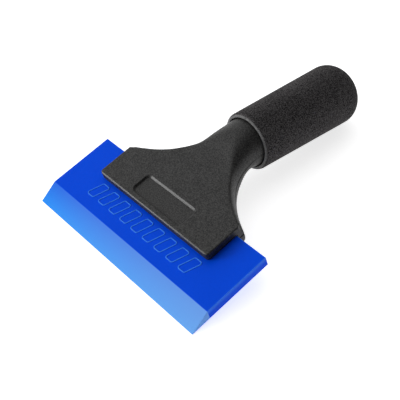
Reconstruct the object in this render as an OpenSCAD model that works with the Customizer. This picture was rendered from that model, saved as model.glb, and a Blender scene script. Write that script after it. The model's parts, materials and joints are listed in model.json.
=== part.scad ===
// Squeegee applicator: a bevelled polyurethane blade held in the jaws of a
// two-shell handle, with a foam sleeve on the handle's core.
// It is laid out in the blade's own frame (X along the blade, Y from the working
// edge towards the grip, Z square to the blade), and resting() then stands it on
// the blade's edge and the underside of the grip, with the origin on the surface.

/* [Blade] */
// Length of the working edge
blade_w = 127; // [110:1:160]
// Depth of the blade from its edge to its back
blade_depth = 50; // [44:0.5:60]
// Thickness of the blade
blade_t = 5.9; // [4.5:0.1:7]
// How far the bevel runs back from the edge
bevel_run = 11.6; // [6:0.2:18]
// Thickness left at the working edge
edge_land = 0.3; // [0.2:0.1:1]
// Depth of blade that stands out of the jaws
blade_reach = 30.7; // [24:0.1:34]

/* [Jaws] */
// Width of the jaws
jaw_w = 86.8; // [74:0.2:104]
// Thickness of each jaw over the blade
jaw_t = 5; // [4:0.1:7]
// How far the jaws' straight ends run on behind the blade's back
jaw_behind = 4.3; // [2:0.1:8]
// Radius of the jaws' front corners
corner_r = 2; // [1:0.5:5]
// Gap between each jaw and the blade
slot_gap = 0.45; // [0.3:0.05:0.8]
// Clearance between the gripping ribs and the blade
rib_clear = 0.05; // [0.02:0.01:0.1]
// Number of gripping ribs on each jaw
rib_count = 3; // [2:1:4]
// Width of a gripping rib
rib_w = 1.6; // [1:0.1:2.4]
// Height of the straight foot of a gripping rib
rib_foot = 0.3; // [0.1:0.05:0.3]
// How far the ribs stop short of the jaws' ends
rib_end_gap = 3; // [1:0.5:8]

/* [Fan and neck] */
// How much further forward the top edge lies than the parting edge
edge_setback = 2.2; // [1:0.2:4]
// Extra rounding of the fan's sides behind the jaws
side_bulge = 0.8; // [0:0.1:3]
// Distance over which that rounding sets in
bulge_run = 8; // [4:0.5:16]
// Distance from the jaws' back to where the fan has become the neck
fan_len = 40; // [32:0.2:48]
// How quickly the fan narrows: 1 is a straight taper
fan_power = 2.9; // [1.8:0.1:3.6]
// Radius of the round neck
neck_r = 13.8; // [12.6:0.1:17]
// Distance from the fan's end to the sleeve's mouth
neck_len = 2.7; // [2:0.1:16]
// Length over which the fan bends onto the grip's axis
bend_len = 18; // [12:0.5:24]
// How far before the fan's end the head begins to swell into the neck
swell_lead = 24; // [16:0.5:30]
// How far behind the fan's end the neck has its full radius
swell_lag = 6; // [2:0.5:9]
// How far before the fan's end the sides begin to turn round
round_lead = 26; // [16:0.5:30]
// How far behind the fan's end the neck is fully round
round_lag = 2; // [0:0.5:2]
// Share of the half height that the rounded side takes at the jaws
side_share = 0.85; // [0.5:0.05:1]
// Depth of the parting groove round the shells
groove = 0.5; // [0.2:0.1:0.8]

/* [Panel recess] */
// Length of the recess on the front shell
recess_w = 39.4; // [24:0.2:50]
// Depth of the recess towards the grip
recess_len = 13; // [8:0.2:15]
// How far the recess is sunk
recess_depth = 1; // [0.4:0.1:1.6]
// Slope of the recess walls, measured across
recess_slope = 1.2; // [0.4:0.1:2]
// Corner radius of the recess
recess_r = 3; // [1.5:0.5:4]
// Distance from the jaws' front to the recess
recess_inset = 2.8; // [2:0.1:5]

/* [Grip] */
// Angle by which the grip drops below the blade's plane
grip_drop = 15.6; // [8:0.2:20]
// Height of the grip's axis over the blade's base at the mouth
mouth_z = 2.1; // [0:0.1:4]
// Length of the foam sleeve
grip_len = 76.7; // [70:0.1:120]
// Thickness of the foam at its mouth
foam_wall = 2.2; // [1.6:0.1:5]
// How much larger the sleeve's radius is before its rounded end than at its mouth
grip_swell = 1.1; // [0:0.1:3]
// Radius of the sleeve's rounded end
end_round = 11; // [6:0.5:14]
// Outer rounding of the sleeve's lip
lip_r = 2; // [0.8:0.1:4]
// Inner edge of the sleeve's lip
inner_lip = 0.2; // [0.1:0.05:0.4]
// Gap between the neck and the sleeve's mouth
mouth_gap = 0.6; // [0.3:0.1:1]
// How far the neck reaches into the sleeve
neck_engage = 7; // [4:0.5:12]
// How far the core inside the sleeve is stepped in from the neck
core_step = 1.4; // [0.8:0.1:3]
// Length of the slope between the neck and the core
shoulder = 0.5; // [0.3:0.1:2]
// Clearance between the core and the sleeve
core_clear = 0.05; // [0.02:0.01:0.1]
// Foam left beyond the core's end
end_wall = 6; // [3:0.5:10]

/* [Shell insides] */
// Wall of the shells
wall = 3; // [2:0.1:4]
// Thickness of the ribs inside the head
inner_rib = 2; // [1.2:0.1:3]
// Radius of the locating pins
pin_r = 1.5; // [1:0.1:2]
// Length of the locating pins
pin_len = 3; // [2:0.5:4]
// Clearance round the locating pins
pin_clear = 0.08; // [0.05:0.01:0.2]
// Distance of the locating pins from the core's ends
pin_inset = 8; // [5:0.5:16]
// Wall left between a locating pin and the faces beside it
pin_skin = 0.4; // [0.3:0.05:0.6]

/* [Screws and inserts] */
// Distance of each jaw screw from the middle
jaw_screw_x = 25; // [18:0.5:30]
// Distance of the jaw screws behind the blade's back
jaw_screw_back = 7; // [6.5:0.1:9]
// Distance of the neck screw in front of the sleeve's mouth
neck_screw_front = 14.5; // [13:0.5:18]
// Radius of the screw thread
screw_r = 2; // [1.5:0.1:2.2]
// Radius of the screw head
head_r = 3.8; // [3.2:0.1:4]
// Height of the screw head
head_h = 2.6; // [2:0.1:3]
// Clearance of the screws in the back shell
screw_clear = 0.25; // [0.1:0.05:0.4]
// Depth of the screw heads below the back shell's face
head_sink = 3; // [2.8:0.1:3.4]
// Extra depth of the neck screw's head
neck_sink = 1; // [0:0.1:3]
// Outer radius of the threaded inserts
insert_r = 2.8; // [2.6:0.1:3.2]
// Length of the threaded inserts
insert_len = 5.5; // [4:0.1:5.8]
// Clearance of the inserts in the front shell and of the screws in the inserts
insert_clear = 0.02; // [0.02:0.01:0.05]
// How far the screws stop short of the inserts' ends
screw_short = 0.5; // [0.2:0.1:1.5]
// Relief above the inserts
insert_relief = 1.2; // [0.5:0.1:1.4]
// Radius of the solid round each screw
boss_r = 5.6; // [5:0.1:6.5]

/* [Hidden] */

black_plastic = [0.25, 0.25, 0.245];
black_foam = [0.18, 0.175, 0.18];
blue_urethane = [0.04, 0.27, 0.8];
zinc_steel = [0.72, 0.73, 0.75];
brass = [0.8, 0.65, 0.35];

// Small overlap that makes cuts run clean through a face
through = 1;

// Levels of the head, measured in the blade's frame
mid_z = blade_t / 2;
head_half = blade_t / 2 + jaw_t;
jaw_front = blade_reach;
jaw_back = blade_depth + jaw_behind;
slot_end = blade_depth + slot_gap;
fan_end = jaw_back + fan_len;
mouth_y = fan_end + neck_len;

// The sleeve, and the core along the grip's axis, measured from the mouth
bore_mouth_r = neck_r + mouth_gap;
grip_mouth_r = bore_mouth_r + foam_wall;
grip_end_r = grip_mouth_r + grip_swell;
core_r = neck_r - core_step;
core_end = grip_len - end_wall;
core_hollow_r = core_r - wall;
core_hollow_start = -neck_screw_front + boss_r + wall;
neck_tip = mouth_y + (neck_engage - shoulder) * cos(grip_drop);

// Places of the three screws
jaw_screw_y = blade_depth + jaw_screw_back;
neck_screw_y = mouth_y - neck_screw_front;
jaw_seat_z = mid_z - head_half + head_sink;
neck_seat_z = centre_z(neck_screw_y) - half_height(neck_screw_y) + head_sink + neck_sink;
jaw_screw_len = mid_z + insert_len - screw_short - jaw_seat_z;
neck_screw_len = mid_z + insert_len - screw_short - neck_seat_z;

// The grip's lower and upper end arcs, which set how the tool rests and how far it
// reaches
low_arc = end_arc_centre(-1);
high_arc = end_arc_centre(1);
rest_tilt = asin(end_round / norm(low_arc)) - atan2(low_arc[1], low_arc[0]);
reach_back = high_arc[0] * cos(rest_tilt) - high_arc[1] * sin(rest_tilt) + end_round;
reach_front = -edge_land * sin(rest_tilt);
middle_y = (reach_back + reach_front) / 2;

// ---- Shape of the head -------------------------------------------------------

function mix(a, b, share) = a + (b - a) * share;
function clamp01(v) = min(1, max(0, v));
function smooth(v) = let(c = clamp01(v)) c * c * (3 - 2 * c);
function ramp(y, from, to) = smooth((y - from) / (to - from));

// Height of the grip's axis
function axis_z(y) = mouth_z - tan(grip_drop) * (y - mouth_y);
// Where the grip's axis crosses the middle of the blade
kink_y = mouth_y - (mid_z - mouth_z) / tan(grip_drop);

// Height of the middle of the head and neck, and the lean of its cross-sections
function bent(y) = ramp(y, fan_end - bend_len, fan_end);
function centre_z(y) = mix(mid_z, axis_z(y), bent(y));
function lean(y) = grip_drop * bent(y);
function swollen(y) = ramp(y, fan_end - swell_lead, fan_end + swell_lag);
function half_height(y) = mix(head_half, neck_r, swollen(y));

// Half width of the head at its parting edge
function fan_half(y) =
    mix(neck_r, jaw_w / 2, pow(1 - clamp01((y - jaw_back) / fan_len), fan_power));
function corner_cut(y) =
    let(d = max(0, jaw_front + corner_r - y)) corner_r - sqrt(max(0, corner_r * corner_r - d * d));
function outline_half(y) = fan_half(y) - corner_cut(y);

// Width and height of the rounded side of a cross-section, which keeps a narrow flat
// between its two edges
flat_half = 0.01;
function rounded(y) = ramp(y, fan_end - round_lead, fan_end + round_lag);
function side_round(y) =
    min(
        outline_half(y) - flat_half,
        fan_half(y) - fan_half(y + edge_setback)
            + side_bulge * ramp(y, jaw_back, jaw_back + bulge_run)
            + neck_r * rounded(y)
    );
function side_height(y) = half_height(y) * mix(side_share, 1, rounded(y));

// Half width of a cross-section at a height above its middle
function half_at(y, h) =
    let(v = clamp01((abs(h) - half_height(y) + side_height(y)) / side_height(y)))
    outline_half(y) - side_round(y) * (1 - sqrt(max(0, 1 - v * v)));

// Height of the parting surface above the middle of a cross-section
function parting(y) = y < kink_y ? (mid_z - centre_z(y)) / cos(lean(y)) : 0;

// Places of the cross-sections
corner_steps = 5;
fan_steps = 33;
neck_steps = 4;
corner_stations =
    [for (i = [0:corner_steps]) jaw_front + corner_r * (1 - cos(90 * i / corner_steps))];
fan_stations = [for (i = [0:fan_steps]) mix(jaw_back - edge_setback, kink_y, i / fan_steps)];
neck_stations = [for (i = [1:neck_steps]) mix(kink_y, neck_tip, i / neck_steps)];
stations = concat(corner_stations, fan_stations, neck_stations);
core_stations = [neck_engage, core_end];

// Right-hand edge of a shell's cross-section from the parting surface to its face;
// side is 1 for the front shell and -1 for the back shell
edge_steps = 14;
function edge_points(y, side) =
    let(low = parting(y), high = side * half_height(y))
    concat(
        [[half_at(y, low) - groove, low]],
        [
            for (i = [0:edge_steps])
                let(h = mix(low + side * groove, high, sin(90 * i / edge_steps)))
                [half_at(y, h), h]
        ]
    );
function placed(y, p) = [p[0], y + p[1] * sin(lean(y)), centre_z(y) + p[1] * cos(lean(y))];
function both_edges(right) =
    concat(right, [for (i = [len(right) - 1:-1:0]) [-right[i][0], right[i][1]]]);
function ring(y, side) = [for (p = both_edges(edge_points(y, side))) placed(y, p)];

// The same for the half-round core, at a distance along the grip's axis; it ends just
// short of the top, so that the two edges stay apart
core_top = 88;
function core_points(side) =
    concat(
        [[core_r - groove, 0]],
        [
            for (i = [0:edge_steps])
                let(turn = mix(asin(groove / core_r), core_top, i / edge_steps))
                core_r * [cos(turn), side * sin(turn)]
        ]
    );
function core_ring(along, side) =
    [
        for (p = both_edges(core_points(side)))
            [
                p[0],
                mouth_y + along * cos(grip_drop) + p[1] * sin(grip_drop),
                mouth_z - along * sin(grip_drop) + p[1] * cos(grip_drop)
            ]
    ];

// The solid through all cross-sections of one shell
module shell_form(side) {
    rings = concat(
        [for (y = stations) ring(y, side)],
        [for (along = core_stations) core_ring(along, side)]
    );
    n = len(rings[0]);
    last = (len(rings) - 1) * n;
    sides = [
        for (k = [0:len(rings) - 2], i = [0:n - 1])
            let(a = k * n + i, b = k * n + (i + 1) % n)
            for (face = [[a, b, b + n], [a, b + n, a + n]])
                side > 0 ? face : [face[2], face[1], face[0]]
    ];
    front = [for (i = [0:n - 1]) side > 0 ? n - 1 - i : i];
    back = [for (i = [0:n - 1]) last + (side > 0 ? i : n - 1 - i)];
    polyhedron(points = [for (r = rings) each r], faces = concat(sides, [front, back]));
}

// ---- Placing -----------------------------------------------------------------

// From the blade's frame to the tool at rest on a surface
module resting() {
    translate([0, -middle_y, 0]) rotate([rest_tilt, 0, 0]) children();
}

// From the sleeve's own axis, which starts at the mouth and runs along +Z
module on_grip_axis() {
    translate([0, mouth_y, mouth_z]) rotate([-90 - grip_drop, 0, 0]) children();
}

// Centre of the rounded end's arc in the plane of symmetry, as [y, z]
function end_arc_centre(side) =
    let(along = grip_len - end_round, across = side * (grip_end_r - end_round))
    [
        mouth_y + along * cos(grip_drop) + across * sin(grip_drop),
        mouth_z - along * sin(grip_drop) + across * cos(grip_drop)
    ];

// ---- Blade -------------------------------------------------------------------

module blade_section() {
    polygon([
        [0, 0],
        [blade_depth, 0],
        [blade_depth, blade_t],
        [bevel_run, blade_t],
        [0, edge_land]
    ]);
}

module blade() {
    color(blue_urethane)
    resting()
    rotate([90, 0, 90])
    translate([0, 0, -blade_w / 2])
    linear_extrude(blade_w)
    blade_section();
}

// ---- Shells ------------------------------------------------------------------

// Space for the blade between the jaws, open at the front and at both ends
module blade_slot() {
    translate([-jaw_w, jaw_front - through, -slot_gap])
    cube([2 * jaw_w, slot_end - jaw_front + through, blade_t + 2 * slot_gap]);
}

// Ridges along the jaw that bite on the blade; side is 1 for the front shell
module gripping_ribs(side) {
    root = side > 0 ? blade_t + slot_gap : -slot_gap;
    crest = side > 0 ? blade_t + rib_clear : -rib_clear;
    rib_len = jaw_w - 2 * rib_end_gap;
    pitch = (slot_end - jaw_front) / (rib_count + 1);
    for (i = [1:rib_count]) {
        rib_y = jaw_front + i * pitch;
        rotate([90, 0, 90])
        translate([0, 0, -rib_len / 2])
        linear_extrude(rib_len)
        polygon([
            [rib_y - rib_w / 2, root],
            [rib_y - rib_w / 2, root + side * rib_foot],
            [rib_y + rib_w / 2, root + side * rib_foot],
            [rib_y + rib_w / 2, root],
            [rib_y, crest]
        ]);
    }
}

// Outline of the hollow inside the head, less the screw bosses and the ribs
hollow_front = slot_end + wall;
hollow_back = neck_screw_y - boss_r;
module head_hollow_outline() {
    steps = 10;
    rows = [for (i = [0:steps]) mix(hollow_front, hollow_back, i / steps)];
    right = [for (y = rows) [fan_half(y + edge_setback) - wall, y]];
    difference() {
        polygon(both_edges(right));
        for (s = [-1, 1]) {
            translate([s * jaw_screw_x, jaw_screw_y]) circle(r = boss_r, $fn = 48);
            translate([s * jaw_screw_x / 2 - inner_rib / 2, 0]) square([inner_rib, 2 * fan_end]);
        }
    }
}

// side is 1 for the front shell and -1 for the back shell
module head_hollow(side) {
    hollow_h = head_half - wall;
    translate([0, 0, side > 0 ? mid_z - through : mid_z - hollow_h])
    linear_extrude(hollow_h + through)
    head_hollow_outline();
}

module core_hollow() {
    on_grip_axis()
    translate([0, 0, core_hollow_start])
    rotate([0, 0, 45])
    cylinder(h = core_end - wall - core_hollow_start, r = core_hollow_r, $fn = 96);
}

// Places of the locating pins on the parting surface of the core, from the mouth
pin_places = [neck_engage + pin_inset, core_end - pin_inset];

module locating_pins(extra) {
    on_grip_axis()
    for (s = [-1, 1], along = pin_places)
        translate([s * (core_r + core_hollow_r) / 2, 0, along])
        rotate([-90, 0, 0])
        translate([0, 0, -pin_len - extra])
        cylinder(h = 2 * (pin_len + extra), r = min(pin_r, wall / 2 - pin_skin) + extra, $fn = 32);
}

// The sunk panel on the front face, with sloping walls
module rounded_panel(w, l, r, h) {
    linear_extrude(h)
    hull()
    for (x = [-1, 1], y = [-1, 1])
        translate([x * (w / 2 - r), y * (l / 2 - r)]) circle(r = r, $fn = 32);
}

module panel_recess() {
    face_z = mid_z + head_half;
    skin = 0.2;
    translate([0, jaw_front + recess_inset + recess_len / 2, face_z])
    hull() {
        rounded_panel(recess_w, recess_len, recess_r, skin);
        translate([0, 0, -recess_depth])
        rounded_panel(
            recess_w - 2 * recess_slope,
            recess_len - 2 * recess_slope,
            recess_r - recess_slope,
            skin
        );
    }
}

// Hole for one insert with relief above it
module insert_hole(x, y) {
    translate([x, y, mid_z - through])
    cylinder(h = insert_len + through, r = insert_r + insert_clear, $fn = 48);
    translate([x, y, mid_z])
    cylinder(h = insert_len + insert_relief, r = screw_r + insert_clear, $fn = 48);
}

// Clearance hole and counterbore for one screw
module screw_hole(x, y, seat_z) {
    translate([x, y, seat_z - through])
    cylinder(h = mid_z - seat_z + 2 * through, r = screw_r + screw_clear, $fn = 48);
    translate([x, y, seat_z - 4 * head_sink])
    cylinder(h = 4 * head_sink, r = head_r + screw_clear, $fn = 48);
}

module front_shell() {
    color(black_plastic)
    resting()
    difference() {
        union() {
            difference() {
                shell_form(1);
                blade_slot();
                head_hollow(1);
                core_hollow();
                panel_recess();
                insert_hole(-jaw_screw_x, jaw_screw_y);
                insert_hole(jaw_screw_x, jaw_screw_y);
                insert_hole(0, neck_screw_y);
            }
            gripping_ribs(1);
        }
        locating_pins(pin_clear);
    }
}

module back_shell() {
    color(black_plastic)
    resting()
    union() {
        difference() {
            shell_form(-1);
            blade_slot();
            head_hollow(-1);
            core_hollow();
            screw_hole(-jaw_screw_x, jaw_screw_y, jaw_seat_z);
            screw_hole(jaw_screw_x, jaw_screw_y, jaw_seat_z);
            screw_hole(0, neck_screw_y, neck_seat_z);
        }
        gripping_ribs(-1);
        locating_pins(0);
    }
}

// ---- Foam grip ---------------------------------------------------------------

// Points on an arc of a profile, from one angle to another
function arc(centre, r, from, to, steps) =
    [for (i = [0:steps]) centre + r * [cos(mix(from, to, i / steps)), sin(mix(from, to, i / steps))]];

module foam_profile() {
    bore_r = core_r + core_clear;
    outer_lip = min(lip_r, foam_wall - inner_lip);
    polygon(concat(
        arc([grip_mouth_r - outer_lip, outer_lip], outer_lip, 270, 360, 8),
        arc([grip_end_r - end_round, grip_len - end_round], end_round, 0, 90, 16),
        [[0, grip_len]],
        [[0, core_end]],
        [[bore_r, core_end]],
        [[bore_r, neck_engage]],
        [[bore_mouth_r, neck_engage]],
        [[bore_mouth_r, inner_lip]]
    ));
}

module foam_grip() {
    color(black_foam)
    resting()
    on_grip_axis()
    rotate_extrude($fn = 128)
    foam_profile();
}

// ---- Screws and inserts ------------------------------------------------------

// Pan-head screw with a cross slot; its seat is at z = 0 and its thread points up
module pan_screw(length) {
    slot_w = 0.9;
    slot_len = 4.4;
    slot_depth = 1.5;
    difference() {
        union() {
            cylinder(h = length, r = screw_r, $fn = 48);
            rotate_extrude($fn = 64)
            polygon([
                [0, 0],
                [head_r, 0],
                [head_r, -head_h * 0.55],
                [head_r * 0.8, -head_h * 0.9],
                [head_r * 0.5, -head_h],
                [0, -head_h]
            ]);
        }
        for (turn = [0, 90])
            rotate([0, 0, turn])
            translate([-slot_len / 2, -slot_w / 2, -head_h - through])
            cube([slot_len, slot_w, slot_depth + through]);
    }
}

// Threaded insert with two knurled bands and a groove between them
module threaded_insert() {
    groove_depth = 0.4;
    band = insert_len * 0.36;
    rotate_extrude($fn = 64)
    polygon([
        [screw_r + insert_clear, 0],
        [insert_r, 0],
        [insert_r, band],
        [insert_r - groove_depth, band],
        [insert_r - groove_depth, insert_len - band],
        [insert_r, insert_len - band],
        [insert_r, insert_len],
        [screw_r + insert_clear, insert_len]
    ]);
}

module screw_at(x, y, seat_z, length) {
    color(zinc_steel)
    resting()
    translate([x, y, seat_z])
    pan_screw(length);
}

module insert_at(x, y) {
    color(brass)
    resting()
    translate([x, y, mid_z])
    threaded_insert();
}

blade();
front_shell();
back_shell();
foam_grip();
screw_at(-jaw_screw_x, jaw_screw_y, jaw_seat_z, jaw_screw_len);  // left_jaw_screw
screw_at(jaw_screw_x, jaw_screw_y, jaw_seat_z, jaw_screw_len);  // right_jaw_screw
screw_at(0, neck_screw_y, neck_seat_z, neck_screw_len);  // neck_screw
insert_at(-jaw_screw_x, jaw_screw_y);  // left_jaw_insert
insert_at(jaw_screw_x, jaw_screw_y);  // right_jaw_insert
insert_at(0, neck_screw_y);  // neck_insert
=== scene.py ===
"""Hand squeegee for film and glass: a bevelled urethane blade in the jaws of a two-shell handle,
with a foam sleeve on the handle's core.

Every piece is drawn in millimetres in the blade's own frame (X along the blade, Y from its working
edge towards the grip, Z square to it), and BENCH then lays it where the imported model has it.
"""

import json
import math

import bmesh
import bpy
from mathutils import Matrix, Vector


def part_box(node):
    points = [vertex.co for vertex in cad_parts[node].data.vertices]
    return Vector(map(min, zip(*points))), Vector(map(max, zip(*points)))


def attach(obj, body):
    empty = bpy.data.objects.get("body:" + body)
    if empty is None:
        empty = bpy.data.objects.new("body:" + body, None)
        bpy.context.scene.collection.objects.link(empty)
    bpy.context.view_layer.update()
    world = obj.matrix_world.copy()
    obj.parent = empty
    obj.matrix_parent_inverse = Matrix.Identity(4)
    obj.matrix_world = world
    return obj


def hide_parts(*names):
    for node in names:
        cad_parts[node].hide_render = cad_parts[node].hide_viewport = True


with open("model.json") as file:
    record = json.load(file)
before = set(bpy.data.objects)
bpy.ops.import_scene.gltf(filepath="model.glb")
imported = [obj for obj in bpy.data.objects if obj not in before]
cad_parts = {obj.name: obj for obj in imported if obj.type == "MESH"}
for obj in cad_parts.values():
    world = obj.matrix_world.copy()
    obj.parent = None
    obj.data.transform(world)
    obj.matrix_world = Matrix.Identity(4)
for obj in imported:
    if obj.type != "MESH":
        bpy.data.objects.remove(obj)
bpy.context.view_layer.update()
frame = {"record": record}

# ---- Sizes, in millimetres ---------------------------------------------------------------------

MM = 0.001


def width_of(node):
    """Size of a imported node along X."""
    low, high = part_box(node)
    return (high.x - low.x) / MM


# Blade
BLADE_W = width_of("blade")
BLADE_DEPTH = 50
BLADE_T = 5.9
BEVEL_RUN = 11.6
EDGE_LAND = 0.3
BLADE_REACH = 30.7
BLADE_ARRIS = 0.22

# Row of raised outline bars on the blade's face
BAR_COUNT = 9
BAR_PITCH = 9.4
BAR_W = 5.4
BAR_LEN = 9.6
BAR_SLANT = 3.4
BAR_CORNER = 1.1
BAR_LINE_R = 0.3
BAR_FLATTEN = 0.8
BAR_MIDDLE_Y = 23.4

# Jaws
JAW_W = width_of("front_shell")
JAW_T = 5
JAW_BEHIND = 4.3
CORNER_R = 2
ARRIS = 0.7
CHAMFER = 0.6
SLOT_GAP = 0.45
RIB_CLEAR = 0.05
RIB_COUNT = 3
RIB_W = 1.6
RIB_FOOT = 0.3
RIB_END_GAP = 3

# Fan and neck
EDGE_SETBACK = 2.2
SIDE_BULGE = 0.8
BULGE_RUN = 8
FAN_LEN = 40
FAN_POWER = 2.9
NECK_R = 13.8
NECK_LEN = 2.7
BEND_LEN = 18
SWELL_LEAD = 24
SWELL_LAG = 6
ROUND_LEAD = 26
ROUND_LAG = 2
SIDE_SHARE = 0.85
LEAST_FLAT = 0.3
NECK_ARRIS = 0.05
GROOVE = 0.5
NECK_GROOVE = 0.12

# Panel recess
RECESS_W = 39.4
RECESS_LEN = 13
RECESS_DEPTH = 1
RECESS_SLOPE = 1.2
RECESS_R = 3
RECESS_INSET = 2.8
RECESS_ARRIS = 0.35

# Grip
GRIP_DROP = math.radians(15.6)
MOUTH_Z = 2.1
GRIP_LEN = 76.7
FOAM_WALL = 2.2
GRIP_SWELL = 1.1
END_ROUND = 11
LIP_R = 2
INNER_LIP = 0.2
MOUTH_GAP = 0.6
NECK_ENGAGE = 7
CORE_STEP = 1.4
CORE_CROWN = 0.999
SHOULDER = 0.5
CORE_CLEAR = 0.05
END_WALL = 6

# Shell insides
WALL = 3
INNER_RIB = 2
PIN_R = 1.1
PIN_LEN = 3
PIN_CLEAR = 0.08
PIN_INSET = 8

# Screws and inserts
JAW_SCREW_X = 25
JAW_SCREW_BACK = 7
NECK_SCREW_FRONT = 14.5
SCREW_R = 2
SCREW_TIP = 0.4
THREAD_PITCH = 0.7
THREAD_DEPTH = 0.3
THREAD_LEAD = 0.5
HEAD_R = 3.8
HEAD_H = 2.6
HEAD_ARRIS = 0.2
CROSS_REACH = 2.2
CROSS_HALF = 0.45
CROSS_DEPTH = 1.5
SCREW_CLEAR = 0.25
HEAD_SINK = 3
NECK_SINK = 1
INSERT_R = 2.8
INSERT_LEN = 5.5
INSERT_CLEAR = 0.02
INSERT_WAIST = 0.2
BAND_SHARE = 0.36
KNURL_DEPTH = 0.25
KNURL_COUNT = 28
KNURL_HALF = 0.16
KNURL_GAP = 0.05
KNURL_SINK = 0.1
KNURL_SHORT = 0.02
SCREW_SHORT = 0.5
INSERT_RELIEF = 1.2
BOSS_R = 5.6

# Worked out from those
MID_Z = BLADE_T / 2
HEAD_HALF = BLADE_T / 2 + JAW_T
FACE_Z = MID_Z + HEAD_HALF
JAW_FRONT = BLADE_REACH
JAW_BACK = BLADE_DEPTH + JAW_BEHIND
SLOT_END = BLADE_DEPTH + SLOT_GAP
FAN_END = JAW_BACK + FAN_LEN
MOUTH_Y = FAN_END + NECK_LEN
KINK_Y = MOUTH_Y - (MID_Z - MOUTH_Z) / math.tan(GRIP_DROP)
NECK_TIP = MOUTH_Y + (NECK_ENGAGE - SHOULDER) * math.cos(GRIP_DROP)
CORE_R = NECK_R - CORE_STEP
CORE_END = GRIP_LEN - END_WALL
CORE_HOLLOW_R = CORE_R - WALL
CORE_HOLLOW_START = BOSS_R + WALL - NECK_SCREW_FRONT
JAW_SCREW_Y = BLADE_DEPTH + JAW_SCREW_BACK
NECK_SCREW_Y = MOUTH_Y - NECK_SCREW_FRONT
PANEL_Y = JAW_FRONT + RECESS_INSET + RECESS_LEN / 2

# How far a cutting tool stands past what it cuts, and what counts as a double point or a sliver
THROUGH = 1
MERGE = 0.0005
SLIVER = 0.0002

# The blade's frame, found from the sunk panel's floor, and the sleeve's frame in it
panel_floor = next(m for m in frame["record"]["mounts"] if m["name"] == "label_recess")
face_up = Vector(panel_floor["axis"])
REST_TILT = math.atan2(-face_up.y, face_up.z)
turn = Matrix.Rotation(REST_TILT, 4, "X") @ Matrix.Scale(MM, 4)
ORIGIN = Vector(panel_floor["pos_m"]) - turn @ Vector((0, PANEL_Y, FACE_Z - RECESS_DEPTH))
BENCH = Matrix.Translation(ORIGIN) @ turn
ON_GRIP = Matrix.Translation((0, MOUTH_Y, MOUTH_Z)) @ Matrix.Rotation(-math.pi / 2 - GRIP_DROP, 4, "X")

# ---- Node trees --------------------------------------------------------------------------------


def add(tree, kind, inputs=None, **settings):
    """One node, with its inputs set or linked."""
    node = tree.nodes.new(kind)
    for key, value in settings.items():
        setattr(node, key, value)
    for key, value in (inputs or {}).items():
        if isinstance(value, bpy.types.NodeSocket):
            tree.links.new(value, node.inputs[key])
        else:
            node.inputs[key].default_value = value
    return node


def new_tree(name, kind, inputs, outputs):
    """A node group with named sockets, as (tree, its inputs, its output node)."""
    tree = bpy.data.node_groups.new(name, kind)
    for label, socket, default in inputs:
        made = tree.interface.new_socket(label, in_out="INPUT", socket_type=socket)
        if default is not None:
            made.default_value = default
    for label, socket in outputs:
        tree.interface.new_socket(label, in_out="OUTPUT", socket_type=socket)
    return tree, tree.nodes.new("NodeGroupInput").outputs, tree.nodes.new("NodeGroupOutput")


def shape_tree(name, *inputs):
    """A geometry tree with its own sizes, a geometry and a material as inputs."""
    sockets = [("Geometry", "NodeSocketGeometry", None), *inputs, ("Material", "NodeSocketMaterial", None)]
    return new_tree(name, "GeometryNodeTree", sockets, [("Geometry", "NodeSocketGeometry")])


def close_tree(tree, given, out, geometry):
    """Ends a shape tree in real geometry with its material."""
    real = add(tree, "GeometryNodeRealizeInstances", {"Geometry": geometry})
    finished = add(
        tree, "GeometryNodeSetMaterial", {"Geometry": real.outputs[0], "Material": given["Material"]}
    )
    tree.links.new(finished.outputs[0], out.inputs[0])
    return tree


def maths(tree, operation, a, b=0.0):
    return add(tree, "ShaderNodeMath", {0: a, 1: b}, operation=operation).outputs[0]


def turned_tree():
    """Turns the profile given as a row of points (X is the radius, Z the height) about Z."""
    tree, given, out = shape_tree("turned", ("Facets", "NodeSocketInt", 96))
    size = add(tree, "GeometryNodeAttributeDomainSize", {0: given["Geometry"]}, component="MESH")
    count = size.outputs[0]
    columns = maths(tree, "ADD", given["Facets"], 1.0)
    grid = add(tree, "GeometryNodeMeshGrid", {"Vertices X": columns, "Vertices Y": count})
    index = add(tree, "GeometryNodeInputIndex").outputs[0]
    place = add(tree, "GeometryNodeInputPosition").outputs[0]
    row = maths(tree, "MODULO", index, count)
    column = maths(tree, "FLOOR", maths(tree, "DIVIDE", index, count))
    point = add(
        tree,
        "GeometryNodeSampleIndex",
        {"Geometry": given["Geometry"], "Value": place, "Index": row},
        data_type="FLOAT_VECTOR",
        domain="POINT",
    )
    angle = maths(tree, "MULTIPLY", maths(tree, "DIVIDE", column, given["Facets"]), math.tau)
    round_z = add(
        tree, "ShaderNodeVectorRotate", {"Vector": point.outputs[0], "Angle": angle}, rotation_type="Z_AXIS"
    )
    moved = add(
        tree, "GeometryNodeSetPosition", {"Geometry": grid.outputs["Mesh"], "Position": round_z.outputs[0]}
    )
    merged = add(tree, "GeometryNodeMergeByDistance", {"Geometry": moved.outputs[0], "Distance": MERGE})
    return close_tree(tree, given, out, merged.outputs[0])


def row_tree():
    """Repeats the given piece in a straight row."""
    tree, given, out = shape_tree(
        "row_of_pieces",
        ("Count", "NodeSocketInt", 3),
        ("First", "NodeSocketVector", None),
        ("Step", "NodeSocketVector", None),
    )
    places = add(
        tree,
        "GeometryNodeMeshLine",
        {"Count": given["Count"], "Start Location": given["First"], "Offset": given["Step"]},
        mode="OFFSET",
    )
    copies = add(
        tree, "GeometryNodeInstanceOnPoints", {"Points": places.outputs[0], "Instance": given["Geometry"]}
    )
    return close_tree(tree, given, out, copies.outputs[0])


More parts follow.
